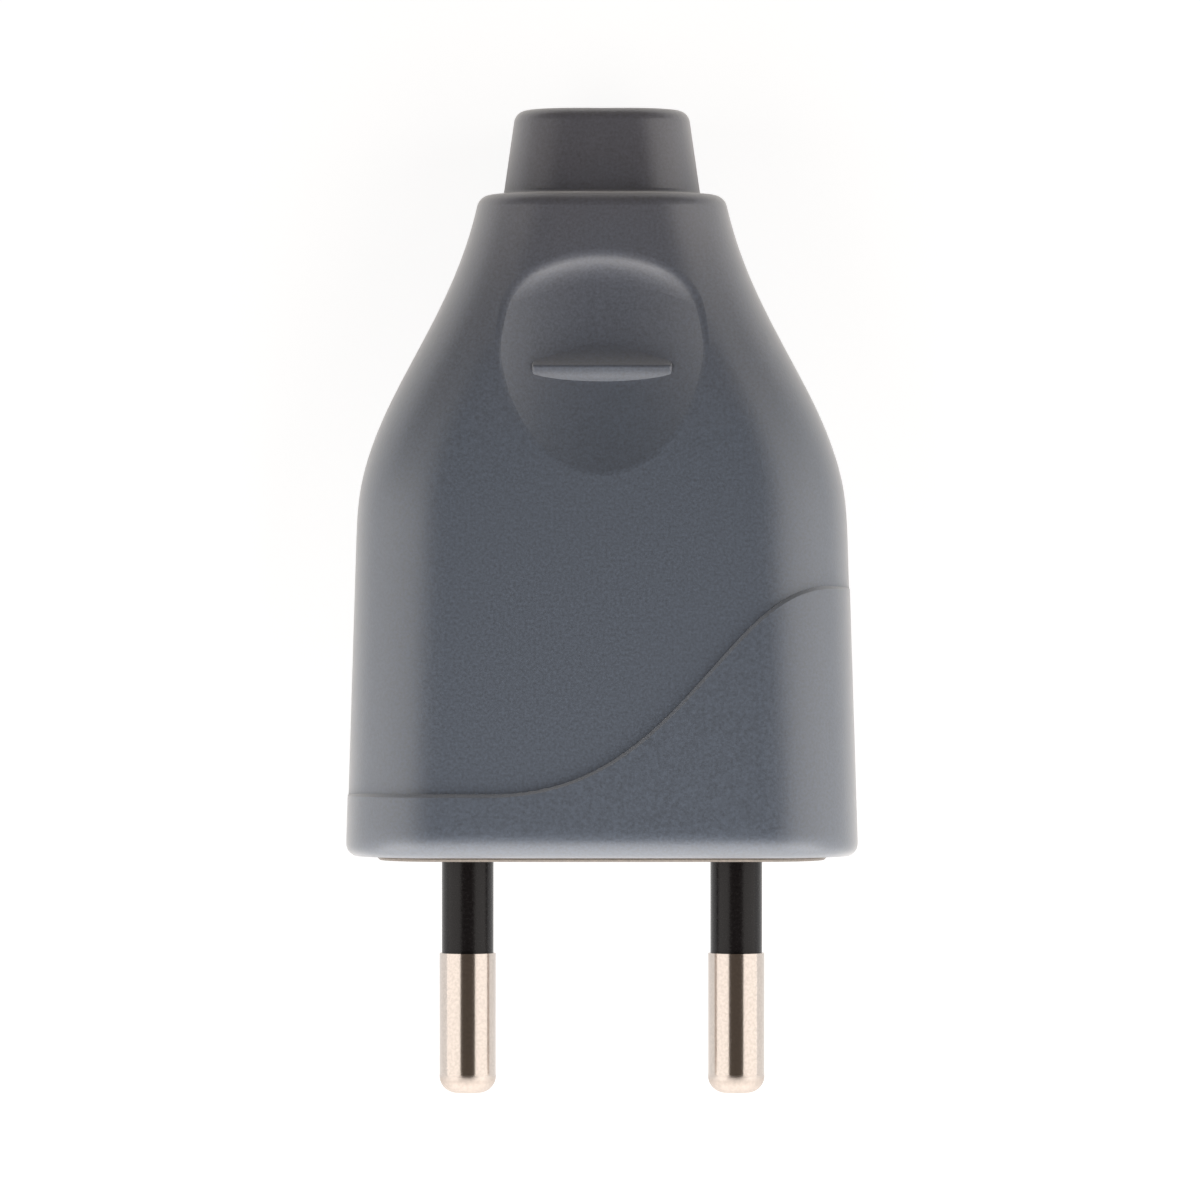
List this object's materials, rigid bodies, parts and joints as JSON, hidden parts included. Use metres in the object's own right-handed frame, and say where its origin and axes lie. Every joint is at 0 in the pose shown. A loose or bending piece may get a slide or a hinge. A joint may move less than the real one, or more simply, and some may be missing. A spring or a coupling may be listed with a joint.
{
  "type": "two-pin plug",
  "caption": "Rewireable two-pin mains plug: grey moulded hood with thumb recess and cable collar, pin carrier and round plated pins with black sleeves.",
  "frame": {"origin": "centre of the pin carrier's face, midway between the pins, where the plug meets the socket outlet", "axes": "+Y away from the pins, towards the cable; +X across the pins, to the right in the picture; +Z out of the front face, so the plug lies on its back"},
  "size_m": [0.0362, 0.0694, 0.0146],
  "materials": {
    "hood_plastic": "fine matt moulded texture",
    "carrier_plastic": "smooth moulded",
    "pin_metal": "bright nickel plate",
    "sleeve_plastic": "satin black",
    "screw_steel": "zinc plated"
  },
  "bodies": {
    "root": {"hood": "hood_plastic", "pin_carrier": "carrier_plastic", "cord_clamp": "carrier_plastic", "left_pin": "pin_metal", "right_pin": "pin_metal", "left_pin_sleeve": "sleeve_plastic", "right_pin_sleeve": "sleeve_plastic", "left_terminal_screw": "screw_steel", "right_terminal_screw": "screw_steel", "left_clamp_screw": "screw_steel", "right_clamp_screw": "screw_steel", "hood_screw": "screw_steel"}
  },
  "joints": []
}
